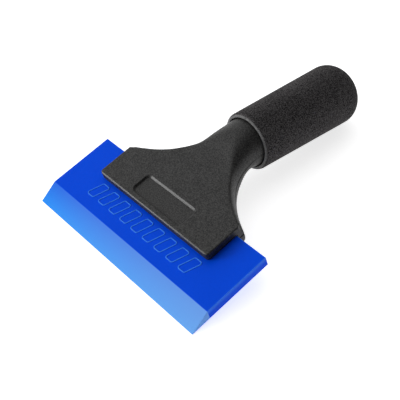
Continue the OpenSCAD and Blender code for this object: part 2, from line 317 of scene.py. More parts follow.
def ring_tree():
    """Repeats the given piece round Z."""
    tree, given, out = shape_tree("ring_of_pieces", ("Count", "NodeSocketInt", 12))
    places = add(
        tree, "GeometryNodeMeshLine", {"Count": given["Count"], "Offset": (0, 0, 0)}, mode="OFFSET"
    )
    index = add(tree, "GeometryNodeInputIndex").outputs[0]
    angle = maths(tree, "MULTIPLY", maths(tree, "DIVIDE", index, given["Count"]), math.tau)
    spin = add(tree, "ShaderNodeCombineXYZ", {"Z": angle})
    copies = add(
        tree,
        "GeometryNodeInstanceOnPoints",
        {"Points": places.outputs[0], "Instance": given["Geometry"], "Rotation": spin.outputs[0]},
    )
    return close_tree(tree, given, out, copies.outputs[0])


def outline_bars_tree():
    """A row of slanted bars, each drawn as a raised half-round line."""
    tree, given, out = shape_tree(
        "raised_outline_bars",
        ("Count", "NodeSocketInt", 9),
        ("Pitch", "NodeSocketFloat", 9.0),
        ("Bar width", "NodeSocketFloat", 5.0),
        ("Bar length", "NodeSocketFloat", 9.0),
        ("Slant", "NodeSocketFloat", 3.0),
        ("Corner radius", "NodeSocketFloat", 1.0),
        ("Line radius", "NodeSocketFloat", 0.3),
    )
    bar = add(
        tree,
        "GeometryNodeCurvePrimitiveQuadrilateral",
        {"Width": given["Bar width"], "Height": given["Bar length"], "Offset": given["Slant"]},
        mode="PARALLELOGRAM",
    )
    eased = add(
        tree,
        "GeometryNodeFilletCurve",
        {"Curve": bar.outputs[0], "Radius": given["Corner radius"], "Count": 5},
        mode="POLY",
    )
    line = add(
        tree,
        "GeometryNodeCurvePrimitiveCircle",
        {"Resolution": 12, "Radius": given["Line radius"]},
        mode="RADIUS",
    )
    drawn = add(
        tree, "GeometryNodeCurveToMesh", {"Curve": eased.outputs[0], "Profile Curve": line.outputs[0]}
    )
    span = maths(tree, "MULTIPLY", maths(tree, "SUBTRACT", given["Count"], 1.0), given["Pitch"])
    first = add(tree, "ShaderNodeCombineXYZ", {"X": maths(tree, "MULTIPLY", span, -0.5)})
    step = add(tree, "ShaderNodeCombineXYZ", {"X": given["Pitch"]})
    places = add(
        tree,
        "GeometryNodeMeshLine",
        {"Count": given["Count"], "Start Location": first.outputs[0], "Offset": step.outputs[0]},
        mode="OFFSET",
    )
    copies = add(
        tree, "GeometryNodeInstanceOnPoints", {"Points": places.outputs[0], "Instance": drawn.outputs[0]}
    )
    return close_tree(tree, given, out, copies.outputs[0])


def thread_tree():
    """A screw thread: a sharp ridge wound round Z."""
    tree, given, out = shape_tree(
        "screw_thread",
        ("Turns", "NodeSocketFloat", 10.0),
        ("Radius", "NodeSocketFloat", 2.0),
        ("Length", "NodeSocketFloat", 8.0),
        ("Ridge", "NodeSocketFloat", 0.3),
    )
    wound = add(
        tree,
        "GeometryNodeCurveSpiral",
        {
            "Resolution": 40,
            "Rotations": given["Turns"],
            "Start Radius": given["Radius"],
            "End Radius": given["Radius"],
            "Height": given["Length"],
        },
    )
    upright = add(tree, "GeometryNodeSetCurveNormal", {"Curve": wound.outputs[0]}, mode="Z_UP")
    ridge = add(
        tree, "GeometryNodeCurvePrimitiveCircle", {"Resolution": 4, "Radius": given["Ridge"]}, mode="RADIUS"
    )
    swept = add(
        tree,
        "GeometryNodeCurveToMesh",
        {"Curve": upright.outputs[0], "Profile Curve": ridge.outputs[0], "Fill Caps": True},
    )
    return close_tree(tree, given, out, swept.outputs[0])


TURNED = turned_tree()
ROW = row_tree()
RING = ring_tree()
OUTLINE_BARS = outline_bars_tree()
THREAD = thread_tree()

# ---- Mesh work ---------------------------------------------------------------------------------


def piece(name, points, faces=(), edges=()):
    mesh = bpy.data.meshes.new(name)
    mesh.from_pydata([tuple(p) for p in points], list(edges), [tuple(f) for f in faces])
    made = bpy.data.objects.new(name, mesh)
    bpy.context.collection.objects.link(made)
    return made


def drop(*objects):
    for item in objects:
        mesh = item.data
        bpy.data.objects.remove(item)
        bpy.data.meshes.remove(mesh)


def baked(item):
    """The object with its modifiers turned into plain mesh."""
    bpy.context.view_layer.update()
    mesh = bpy.data.meshes.new_from_object(item.evaluated_get(bpy.context.evaluated_depsgraph_get()))
    old = item.data
    item.modifiers.clear()
    item.data = mesh
    bpy.data.meshes.remove(old)
    mesh.name = item.name
    return item


def grown(tree, item, **values):
    """Runs a shape tree on an object and keeps the plain mesh. Underscores stand for spaces."""
    modifier = item.modifiers.new(tree.name, "NODES")
    modifier.node_group = tree
    for entry in tree.interface.items_tree:
        key = entry.name.lower().replace(" ", "_")
        if entry.in_out == "INPUT" and key in values:
            modifier[entry.identifier] = values[key]
    return cleaned(baked(item))


def cleaned(item):
    """Merges doubles, drops loose bits and turns the faces outwards."""
    work = bmesh.new()
    work.from_mesh(item.data)
    bmesh.ops.remove_doubles(work, verts=work.verts, dist=MERGE)
    bmesh.ops.dissolve_degenerate(work, edges=work.edges, dist=SLIVER)
    bmesh.ops.delete(work, geom=[e for e in work.edges if not e.link_faces], context="EDGES")
    bmesh.ops.delete(work, geom=[v for v in work.verts if not v.link_edges], context="VERTS")
    bmesh.ops.recalc_face_normals(work, faces=work.faces)
    work.to_mesh(item.data)
    work.free()
    return item


def placed(item, matrix):
    item.data.transform(matrix)
    return item


def joined(target, *tools, operation="DIFFERENCE"):
    """Cuts the tools from the target, or adds them to it, and drops the tools."""
    for tool in tools:
        modifier = target.modifiers.new("join", "BOOLEAN")
        modifier.operation = operation
        modifier.solver = "MANIFOLD"
        modifier.object = tool
    baked(target)
    drop(*tools)
    return target


def smoothed(item, angle=32):
    """Smooth shading that keeps flats flat and creases crisp."""
    item.data.shade_smooth()
    item.data.set_sharp_from_angle(angle=math.radians(angle))
    weighted = item.modifiers.new("flats", "WEIGHTED_NORMAL")
    weighted.keep_sharp = True
    weighted.weight = 60
    return baked(item)


def capped(name, points):
    """A solid between two equal outlines, given one after the other."""
    n = len(points) // 2
    sides = [(i, (i + 1) % n, n + (i + 1) % n, n + i) for i in range(n)]
    return cleaned(piece(name, points, [range(n), range(n, 2 * n), *sides]))


def prism(name, outline, low, high):
    """An upright solid on an outline in X and Y."""
    return capped(name, [(x, y, z) for z in (low, high) for x, y in outline])


def bar(name, section, half):
    """A solid along X on a section in Y and Z, reaching half either way."""
    return capped(name, [(x, y, z) for x in (-half, half) for y, z in section])


def box(name, x, y, z):
    """A block, with its low and high limits on each axis."""
    return prism(name, [(x[0], y[0]), (x[1], y[0]), (x[1], y[1]), (x[0], y[1])], *z)


def rod(name, x, y, r, low, high, facets=64):
    turns = [math.tau * i / facets for i in range(facets)]
    return prism(name, [(x + r * math.cos(a), y + r * math.sin(a)) for a in turns], low, high)


def arc(centre, r, start, end, steps):
    """Points on an arc, with its angles in degrees."""
    angles = [math.radians(start + (end - start) * i / steps) for i in range(steps + 1)]
    return [(centre[0] + r * math.cos(a), centre[1] + r * math.sin(a)) for a in angles]


def lathe(name, profile, facets=96):
    """A turned piece from a closed profile of (radius, height) points."""
    row = [(r, 0, h) for r, h in [*profile, profile[0]]]
    links = [(i, i + 1) for i in range(len(row) - 1)]
    return grown(TURNED, piece(name, row, edges=links), facets=facets)


def loft(name, rings):
    """A closed solid through rings that have equal numbers of points."""
    n = len(rings[0])
    last = (len(rings) - 1) * n
    sides = [
        (k * n + i, k * n + (i + 1) % n, (k + 1) * n + (i + 1) % n, (k + 1) * n + i)
        for k in range(len(rings) - 1)
        for i in range(n)
    ]
    points = [p for ring in rings for p in ring]
    return cleaned(piece(name, points, [*sides, range(n), range(last, last + n)]))


# ---- Shape of the head, as the shells' formulas have it ----------------------------------------


def mix(a, b, share):
    return a + (b - a) * share


def clamp(v):
    return min(1.0, max(0.0, v))


def ramp(y, start, end):
    """0 before the start, 1 past the end, and an even curve between."""
    c = clamp((y - start) / (end - start))
    return c * c * (3 - 2 * c)


def bent(y):
    """Share of the bend towards the grip."""
    return ramp(y, FAN_END - BEND_LEN, FAN_END)


def rounded(y):
    """Share of the change from the head's section to the neck's round one."""
    return ramp(y, FAN_END - ROUND_LEAD, FAN_END + ROUND_LAG)


def centre_z(y):
    return mix(MID_Z, MOUTH_Z - math.tan(GRIP_DROP) * (y - MOUTH_Y), bent(y))


def lean(y):
    return GRIP_DROP * bent(y)


def corner_cut(y):
    """How far the rounded corners at the jaws' front pull the sides in."""
    before = max(0.0, JAW_FRONT + CORNER_R - y)
    return CORNER_R - math.sqrt(max(0.0, CORNER_R * CORNER_R - before * before))


def half_height(y):
    """Half the section's height, less the chamfer along the jaws' front edge."""
    chamfer = max(0.0, JAW_FRONT + CHAMFER - y)
    return mix(HEAD_HALF, NECK_R, ramp(y, FAN_END - SWELL_LEAD, FAN_END + SWELL_LAG)) - chamfer


def fan_half(y):
    return mix(NECK_R, JAW_W / 2, (1 - clamp((y - JAW_BACK) / FAN_LEN)) ** FAN_POWER)


def outline_half(y):
    return fan_half(y) - corner_cut(y)


def arris(y):
    """Radius of the edge between the face and the sides, which dies out towards the neck."""
    return mix(ARRIS, NECK_ARRIS, rounded(y))


def side_round(y):
    """How far in from the outline the face begins, which leaves at least a narrow flat."""
    wanted = fan_half(y) - fan_half(y + EDGE_SETBACK) + SIDE_BULGE * ramp(y, JAW_BACK, JAW_BACK + BULGE_RUN)
    return min(outline_half(y) - LEAST_FLAT - arris(y), wanted + NECK_R * rounded(y))


def ease(height, top, reach):
    """How far a rounded edge of that reach has turned in at a height, from 0 to 1."""
    v = clamp((height - top + reach) / reach)
    return 1 - math.sqrt(max(0.0, 1 - v * v))


def half_at(y, h):
    """Half the section's width at a height."""
    top = half_height(y)
    side_height = top * mix(SIDE_SHARE, 1, rounded(y))
    turned_in = side_round(y) * ease(abs(h), top, side_height) + arris(y) * ease(abs(h), top, arris(y))
    return outline_half(y) - turned_in


def parting(y):
    """Height of the parting surface: the blade's middle plane up to the kink, then the grip's axis."""
    return (MID_Z - centre_z(y)) / math.cos(lean(y)) if y < KINK_Y else 0.0


def both_edges(right):
    """The right half of an outline and its mirror image."""
    return [*right, *[(-x, h) for x, h in reversed(right)]]


def groove(y):
    """Depth of the parting groove, which fades on the neck."""
    return mix(GROOVE, NECK_GROOVE, rounded(y))


def side_heights(low, top, edge, side, groove_w):
    """Heights up a cross-section's side: the parting groove, the wall and the rounded edge."""
    wall_steps, edge_steps = 18, 6
    quarter = math.pi / 2
    foot, shoulder = low + side * groove_w, side * (top - edge)
    wall = [mix(foot, shoulder, math.sin(quarter * i / wall_steps)) for i in range(wall_steps + 1)]
    turns = [quarter * i / edge_steps for i in range(1, edge_steps + 1)]
    return wall + [side * (top - edge + edge * math.sin(a)) for a in turns]


def head_ring(y, side):
    """One shell's section across the head and neck."""
    low = parting(y)
    heights = side_heights(low, half_height(y), arris(y), side, groove(y))
    right = [(half_at(y, low) - groove(y), low), *[(half_at(y, h), h) for h in heights]]
    tip = lean(y)
    return [(x, y + h * math.sin(tip), centre_z(y) + h * math.cos(tip)) for x, h in both_edges(right)]


def core_ring(along, side):
    """One shell's section across the core inside the sleeve."""
    heights = side_heights(0, CORE_R * CORE_CROWN, NECK_ARRIS, side, NECK_GROOVE)
    right = [(CORE_R - NECK_GROOVE, 0), *[(math.sqrt(CORE_R**2 - h * h), h) for h in heights]]
    return [ON_GRIP @ Vector((x, -h, along)) for x, h in both_edges(right)]


def stations():
    """Places of the cross-sections, close together where the shape turns fast."""
    corner_steps, fan_steps, neck_steps, least_gap = 10, 96, 10, 0.02
    turns = [math.pi / 2 * i / corner_steps for i in range(corner_steps + 1)]
    corner = sorted([*[JAW_FRONT + CORNER_R * (1 - math.cos(a)) for a in turns], JAW_FRONT + CHAMFER])
    fan = [mix(JAW_BACK - EDGE_SETBACK, KINK_Y, i / fan_steps) for i in range(fan_steps + 1)]
    neck = [mix(KINK_Y, NECK_TIP, i / neck_steps) for i in range(1, neck_steps + 1)]
    kept = []
    for y in corner + fan + neck:
        if not kept or y - kept[-1] > least_gap:
            kept.append(y)
    return kept


# ---- Shells ------------------------------------------------------------------------------------


def slot():
    """The room that the jaws leave for the blade, open at both ends."""
    return box("slot", (-JAW_W, JAW_W), (JAW_FRONT - THROUGH, SLOT_END), (-SLOT_GAP, BLADE_T + SLOT_GAP))


def ridges(side):
    """The jaw's gripping ridges, whose crests stop just short of the blade."""
    root = BLADE_T + SLOT_GAP if side > 0 else -SLOT_GAP
    crest = BLADE_T + RIB_CLEAR if side > 0 else -RIB_CLEAR
    foot = root + side * RIB_FOOT
    section = [(-RIB_W / 2, foot), (-RIB_W / 2, root), (0, crest), (RIB_W / 2, root), (RIB_W / 2, foot)]
    one = bar("ridges", section, JAW_W / 2 - RIB_END_GAP)
    pitch = (SLOT_END - JAW_FRONT) / (RIB_COUNT + 1)
    return grown(ROW, one, count=RIB_COUNT, first=(0, JAW_FRONT + pitch, 0), step=(0, pitch, 0))


def head_hollow(side):
    """The hollow in the head, less the screw bosses and two ribs."""
    front, back, steps = SLOT_END + WALL, NECK_SCREW_Y - BOSS_R, 24
    rows = [mix(front, back, i / steps) for i in range(steps + 1)]
    outline = both_edges([(fan_half(y + EDGE_SETBACK) - WALL, y) for y in rows])
    depth = HEAD_HALF - WALL
    low, high = (MID_Z - THROUGH, MID_Z + depth) if side > 0 else (MID_Z - depth, MID_Z + THROUGH)
    hollow = prism("hollow", outline, low, high)
    reach = 2 * HEAD_HALF
    left_standing = []
    for s in (-1, 1):
        rib_x = s * JAW_SCREW_X / 2
        left_standing += [
            rod("boss", s * JAW_SCREW_X, JAW_SCREW_Y, BOSS_R, -reach, reach),
            box("rib", (rib_x - INNER_RIB / 2, rib_x + INNER_RIB / 2), (0, FAN_END), (-reach, reach)),
        ]
    return joined(hollow, *left_standing)


def core_hollow():
    """The hollow that runs up the neck and the core."""
    hollow = rod("core_hollow", 0, 0, CORE_HOLLOW_R, CORE_HOLLOW_START, CORE_END - WALL, 96)
    return placed(hollow, ON_GRIP)


def locating_pins(extra):
    """Pins on the core's parting surface, or their holes."""
    lie_across = Matrix.Rotation(-math.pi / 2, 4, "X")
    reach = PIN_LEN + extra
    return [
        placed(
            rod("pin", 0, 0, PIN_R + extra, -reach, reach, 32),
            ON_GRIP @ Matrix.Translation((s * (CORE_R + CORE_HOLLOW_R) / 2, 0, along)) @ lie_across,
        )
        for s in (-1, 1)
        for along in (NECK_ENGAGE + PIN_INSET, CORE_END - PIN_INSET)
    ]


def panel_recess():
    """The sunk panel, with an eased rim, sloping walls and a filleted floor."""
    ease_steps, corner_steps, corner_share, just_clear = 5, 8, 0.9, 0.001
    slope = math.atan2(RECESS_DEPTH, RECESS_SLOPE)
    setback = RECESS_ARRIS * math.tan(slope / 2)
    turns = [slope * i / ease_steps for i in range(ease_steps + 1)]
    eased = [(RECESS_ARRIS * math.sin(a), RECESS_ARRIS * (1 - math.cos(a))) for a in turns]
    rim = [(inset - setback, depth) for inset, depth in eased]
    foot = [(RECESS_SLOPE - inset, RECESS_DEPTH - depth) for inset, depth in reversed(eased)]
    rings = []
    for inset, depth in [(-setback, -THROUGH), (-setback, -just_clear), *rim, *foot]:
        r = RECESS_R - inset * corner_share
        across, along = RECESS_W / 2 - inset - r, RECESS_LEN / 2 - inset - r
        corners = ((across, along, 0), (-across, along, 90), (-across, -along, 180), (across, -along, 270))
        ring = [p for x, y, a in corners for p in arc((x, PANEL_Y + y), r, a, a + 90, corner_steps)]
        rings.append([(x, y, FACE_Z - depth) for x, y in ring])
    return loft("recess", rings)


SCREW_PLACES = {
    "left_jaw": (-JAW_SCREW_X, JAW_SCREW_Y),
    "right_jaw": (JAW_SCREW_X, JAW_SCREW_Y),
    "neck": (0, NECK_SCREW_Y),
}


def seat_z(place):
    """Height of a screw head's seat."""
    if place == "neck":
        return centre_z(NECK_SCREW_Y) - half_height(NECK_SCREW_Y) + HEAD_SINK + NECK_SINK
    return MID_Z - HEAD_HALF + HEAD_SINK


def insert_holes():
    """Holes for the inserts, with room behind them for the screws' tips."""
    reach = INSERT_LEN + INSERT_RELIEF
    for x, y in SCREW_PLACES.values():
        yield rod("hole", x, y, INSERT_R + INSERT_CLEAR, MID_Z - THROUGH, MID_Z + INSERT_LEN)
        yield rod("relief", x, y, SCREW_R + INSERT_CLEAR, MID_Z, MID_Z + reach)


def screw_holes():
    """Clearance holes for the screws, and counterbores out through the back face."""
    for place, (x, y) in SCREW_PLACES.items():
        seat = seat_z(place)
        yield rod("hole", x, y, SCREW_R + SCREW_CLEAR, seat - THROUGH, MID_Z + THROUGH)
        yield rod("counterbore", x, y, HEAD_R + SCREW_CLEAR, seat - 4 * HEAD_SINK, seat)


def shell_form(name, side):
    """A shell's outside, from the jaws to the core's end, solid."""
    rings = [head_ring(y, side) for y in stations()]
    rings += [core_ring(along, side) for along in (NECK_ENGAGE, CORE_END)]
    return loft(name, rings)


def front_shell():
    """The shell with the sunk panel, which holds the inserts."""
    shell = shell_form("front_casing", 1)
    joined(shell, slot(), head_hollow(1), core_hollow(), panel_recess(), *insert_holes())
    joined(shell, ridges(1), operation="UNION")
    joined(shell, *locating_pins(PIN_CLEAR))
    return placed(shell, BENCH)


def back_shell():
    """The shell with the counterbored screw holes and the locating pins."""
    shell = shell_form("back_casing", -1)
    joined(shell, slot(), head_hollow(-1), core_hollow(), *screw_holes())
    joined(shell, ridges(-1), *locating_pins(0), operation="UNION")
    return placed(shell, BENCH)


# ---- Blade -------------------------------------------------------------------------------------


def blade():
    """The urethane blade with eased edges and a row of raised outline bars."""
    section = [(0, 0), (BLADE_DEPTH, 0), (BLADE_DEPTH, BLADE_T), (BEVEL_RUN, BLADE_T), (0, EDGE_LAND)]
    body = bar("squeegee_blade", section, BLADE_W / 2)
    eased = body.modifiers.new("eased", "BEVEL")
    eased.width = BLADE_ARRIS
    eased.segments = 3
    eased.limit_method = "ANGLE"
    eased.angle_limit = math.radians(20)
    baked(body)
    bars = grown(
        OUTLINE_BARS,
        piece("bars", [(0, 0, 0)]),
        count=BAR_COUNT,
        pitch=BAR_PITCH,
        bar_width=BAR_W,
        bar_length=BAR_LEN,
        slant=BAR_SLANT,
        corner_radius=BAR_CORNER,
        line_radius=BAR_LINE_R,
    )
    placed(bars, Matrix.Translation((0, BAR_MIDDLE_Y, BLADE_T)) @ Matrix.Diagonal((1, 1, BAR_FLATTEN, 1)))
    return placed(joined(body, bars, operation="UNION"), BENCH)


# ---- Foam sleeve -------------------------------------------------------------------------------


def foam_sleeve():
    """The sleeve, closed at its round end, that swells a little away from its lip."""
    lip_steps, body_steps, end_steps = 10, 24, 28
    mouth_r = NECK_R + MOUTH_GAP
    lip_at = mouth_r + FOAM_WALL
    end_at = lip_at + GRIP_SWELL
    lip_r = min(LIP_R, FOAM_WALL - INNER_LIP)
    lip = arc((lip_at - lip_r, lip_r), lip_r, 270, 360, lip_steps)
    end = arc((end_at - END_ROUND, GRIP_LEN - END_ROUND), END_ROUND, 0, 90, end_steps)
    shares = [i / body_steps for i in range(1, body_steps)]
    body = [(mix(lip[-1][0], end[0][0], t), mix(lip[-1][1], end[0][1], t)) for t in shares]
    bore = CORE_R + CORE_CLEAR
    inside = [
        (0, GRIP_LEN),
        (0, CORE_END),
        (bore, CORE_END),
        (bore, NECK_ENGAGE),
        (mouth_r, NECK_ENGAGE),
        (mouth_r, INNER_LIP),
    ]
    return placed(lathe("foam_sleeve", [*lip, *body, *end, *inside], 144), BENCH @ ON_GRIP)


# ---- Screws and inserts ------------------------------------------------------------------------


def pan_screw(name, place):
    """An M4 pan-head screw with a cross slot, seat at height 0 and thread upwards."""
    seat = seat_z(place)
    length = MID_Z + INSERT_LEN - SCREW_SHORT - seat
    root_r = SCREW_R - THREAD_DEPTH
    side_share, dome_share, fullness = 0.4, 0.6, 0.7
    dome = [
        (HEAD_R * math.cos(a) ** fullness, -HEAD_H * side_share - HEAD_H * dome_share * math.sin(a))
        for a in [math.radians(8 * i) for i in range(11)]
    ]
    profile = [
        (0, length),
        (root_r - SCREW_TIP, length),
        (root_r, length - SCREW_TIP),
        (root_r, 0),
        (HEAD_R - HEAD_ARRIS, 0),
        (HEAD_R, -HEAD_ARRIS),
        *dome,
        (0, -HEAD_H),
    ]
    screw = lathe(name, profile, 48)
    turns = (length - SCREW_TIP - 2 * THREAD_LEAD) / THREAD_PITCH
    thread = grown(
        THREAD,
        piece("thread", [(0, 0, 0)]),
        turns=turns,
        radius=root_r,
        length=turns * THREAD_PITCH,
        ridge=THREAD_DEPTH,
    )
    placed(thread, Matrix.Translation((0, 0, THREAD_LEAD)))
    joined(screw, thread, operation="UNION")
    long_way, short_way = (-CROSS_REACH, CROSS_REACH), (-CROSS_HALF, CROSS_HALF)
    heights = (-HEAD_H - THROUGH, -HEAD_H + CROSS_DEPTH)
    joined(screw, box("arm", long_way, short_way, heights), box("arm", short_way, long_way, heights))
    x, y = SCREW_PLACES[place]
    return placed(screw, BENCH @ Matrix.Translation((x, y, seat)))


def threaded_insert(name, place):
    """A brass insert with two knurled bands."""
    band = INSERT_LEN * BAND_SHARE
    core = INSERT_R - KNURL_DEPTH
    waist = core - INSERT_WAIST
    bore = SCREW_R + INSERT_CLEAR
    profile = [
        (bore, 0),
        (core, 0),
        (core, band),
        (waist, band),
        (waist, INSERT_LEN - band),
        (core, INSERT_LEN - band),
        (core, INSERT_LEN),
        (bore, INSERT_LEN),
    ]
    insert = lathe(name, profile, 56)
    root, crest = core - KNURL_SINK, INSERT_R - KNURL_SHORT
    section = [(root, -KNURL_HALF), (crest, 0), (root, KNURL_HALF)]
    for low in (KNURL_GAP, INSERT_LEN - band + KNURL_GAP):
        tooth = prism("knurl", section, low, low + band - 2 * KNURL_GAP)
        joined(insert, grown(RING, tooth, count=KNURL_COUNT), operation="UNION")
    x, y = SCREW_PLACES[place]
    return placed(insert, BENCH @ Matrix.Translation((x, y, MID_Z)))


# ---- Finishes ----------------------------------------------------------------------------------


def grain_group():
    """Fine grain and cells over a slow mottle: a mask for the colour and a height for the bump."""
    tree, given, out = new_tree(
        "surface_grain",
        "ShaderNodeTree",
        [
            ("Vector", "NodeSocketVector", None),
            ("Grain size", "NodeSocketFloat", 0.4),
            ("Mottle size", "NodeSocketFloat", 12.0),
            ("Mottle share", "NodeSocketFloat", 0.3),
            ("Cell share", "NodeSocketFloat", 0.0),
        ],
        [("Mask", "NodeSocketFloat"), ("Height", "NodeSocketFloat")],
    )
    per_mm = maths(tree, "DIVIDE", 1.0, given["Grain size"])
    fine = add(
        tree,
        "ShaderNodeTexNoise",
        {"Vector": given["Vector"], "Scale": per_mm, "Detail": 4.0, "Roughness": 0.65},
    )
    cells = add(
        tree,
        "ShaderNodeTexVoronoi",
        {"Vector": given["Vector"], "Scale": per_mm, "Randomness": 0.9},
        feature="SMOOTH_F1",
    )
    slow_per_mm = maths(tree, "DIVIDE", 1.0, given["Mottle size"])
    slow = add(
        tree, "ShaderNodeTexNoise", {"Vector": given["Vector"], "Scale": slow_per_mm, "Detail": 3.0}
    )
    pitted = add(
        tree,
        "ShaderNodeMix",
        {"Factor": given["Cell share"], "A": fine.outputs["Fac"], "B": cells.outputs["Distance"]},
        data_type="FLOAT",
    )
    mask = add(
        tree,
        "ShaderNodeMix",
        {"Factor": given["Mottle share"], "A": pitted.outputs[0], "B": slow.outputs["Fac"]},
        data_type="FLOAT",
    )
    tree.links.new(mask.outputs[0], out.inputs["Mask"])
    tree.links.new(pitted.outputs[0], out.inputs["Height"])
    return tree


GRAIN = grain_group()


def finish(name, roughness, **plain):
    """A new material with its shader, as (material, tree, shader, blade-frame millimetres)."""
    material = bpy.data.materials.new(name)
    material.use_nodes = True
    tree = material.node_tree
    shader = tree.nodes["Principled BSDF"]
    shader.inputs["Roughness"].default_value = roughness
    for key, value in plain.items():
        shader.inputs[key.replace("_", " ")].default_value = value
    place = add(tree, "ShaderNodeTexCoord").outputs["Object"]
    bench = add(
        tree,
        "ShaderNodeMapping",
        {"Vector": place, "Location": ORIGIN, "Rotation": (REST_TILT, 0, 0), "Scale": (MM, MM, MM)},
        vector_type="TEXTURE",
    )
    return material, tree, shader, bench.outputs[0]


def grained(tree, vector, size, mottle, share, cells=0.0):
    """The grain's mask and height, with the sizes of its grain and mottle in millimetres."""
    group = add(tree, "ShaderNodeGroup", node_tree=GRAIN)
    tree.links.new(vector, group.inputs["Vector"])
    shares = {"Grain size": size, "Mottle size": mottle, "Mottle share": share, "Cell share": cells}
    for key, value in shares.items():
        group.inputs[key].default_value = value
    return group.outputs["Mask"], group.outputs["Height"]


def between(tree, mask, low, high):
    """Stretches a mask so that low becomes 0 and high becomes 1."""
    return add(tree, "ShaderNodeMapRange", {"Value": mask, "From Min": low, "From Max": high}).outputs[0]


def blended(tree, mask, first, second):
    """Mixes two colours, each a colour or a socket."""
    node = add(tree, "ShaderNodeMix", {"Factor": mask}, data_type="RGBA")
    for key, value in ((6, first), (7, second)):
        if isinstance(value, bpy.types.NodeSocket):
            tree.links.new(value, node.inputs[key])
        else:
            node.inputs[key].default_value = (*value, 1)
    return node.outputs[2]


def bumped(tree, shader, height, strength, distance):
    """Raises the surface by a height map, with its distance in metres."""
    bump = add(tree, "ShaderNodeBump", {"Height": height, "Strength": strength, "Distance": distance})
    tree.links.new(bump.outputs[0], shader.inputs["Normal"])


def within(tree, value, low, high, fade=0.05):
    """1 where a value lies between two limits, and 0 elsewhere."""
    past_low = between(tree, value, low - fade, low)
    return maths(tree, "MULTIPLY", past_low, between(tree, value, high + fade, high))


def moulded_plastic():
    """Black spark-grained plastic, smoother and with a painted highlight on the jaw's chamfer and the
    recess's rear wall.
    """
    material, tree, shader, place = finish("moulded_plastic", 0.5, Specular_IOR_Level=0.36)
    mask, height = grained(tree, place, size=0.62, mottle=9.0, share=0.08)
    # The third colour is a painted highlight for the jaw's chamfer and the recess's rear wall.
    dark, light, painted_highlight = (0.0005, 0.0005, 0.0005), (0.041, 0.0405, 0.0395), (0.06, 0.06, 0.059)
    skin = blended(tree, between(tree, mask, 0.42, 0.6), dark, light)
    across, depth, up = add(tree, "ShaderNodeSeparateXYZ", {0: place}).outputs
    # The jaw's chamfer and the recess's rear wall: smoother there, and lightened by a painted highlight.
    lip = within(tree, depth, JAW_FRONT - THROUGH, JAW_FRONT + CHAMFER)
    lip = maths(tree, "MULTIPLY", lip, within(tree, up, FACE_Z - CHAMFER, FACE_Z))
    rear = JAW_FRONT + RECESS_INSET + RECESS_LEN
    wall = within(tree, depth, rear - RECESS_SLOPE, rear)
    wall = maths(tree, "MULTIPLY", wall, within(tree, up, FACE_Z - RECESS_DEPTH, FACE_Z - 0.1))
    smooth_and_highlit = maths(tree, "MAXIMUM", lip, wall)
    # Painted highlight: the chamfer and the rear wall are lightened half-way towards the third colour.
    colour = blended(tree, maths(tree, "MULTIPLY", smooth_and_highlit, 0.5), skin, painted_highlight)
    tree.links.new(colour, shader.inputs["Base Color"])
    rough = add(
        tree,
        "ShaderNodeMapRange",
        {"Value": mask, "From Min": 0.35, "From Max": 0.65, "To Min": 0.6, "To Max": 0.44},
    )
    eased = add(
        tree, "ShaderNodeMix", {"Factor": smooth_and_highlit, "A": rough.outputs[0], "B": 0.36}, data_type="FLOAT"
    )
    tree.links.new(eased.outputs[0], shader.inputs["Roughness"])
    bumped(tree, shader, height, strength=0.6, distance=0.00012)
    return material


def closed_cell_foam():
    """Black foam with a paler cut edge at its mouth, lightened further by a painted highlight."""
    material, tree, shader, place = finish("closed_cell_foam", 0.95, Specular_IOR_Level=0.08)
    mask, height = grained(tree, place, size=0.55, mottle=14.0, share=0.06, cells=0.3)
    # The third colour is the paler cut edge together with a painted highlight on the lip.
    dark, light, pale_cut_and_highlight = (0.001, 0.0009, 0.001), (0.094, 0.089, 0.091), (0.2, 0.2, 0.2)
    skin = blended(tree, between(tree, mask, 0.39, 0.55), dark, light)
    on_grip = add(
        tree,
        "ShaderNodeMapping",
        {
            "Vector": place,
            "Location": (0, MOUTH_Y, MOUTH_Z),
            "Rotation": (-math.pi / 2 - GRIP_DROP, 0, 0),
            "Scale": (1, 1, 1),
        },
        vector_type="TEXTURE",
    )
    along = add(tree, "ShaderNodeSeparateXYZ", {0: on_grip.outputs[0]}).outputs["Z"]
    # Paler cut edge and painted highlight on the lip, in a thin ring at the mouth.
    edge = maths(tree, "MULTIPLY", between(tree, along, 0.7, 0.2), between(tree, mask, 0.2, 0.55))
    tree.links.new(blended(tree, edge, skin, pale_cut_and_highlight), shader.inputs["Base Color"])
    bumped(tree, shader, height, strength=0.6, distance=0.00015)
    return material


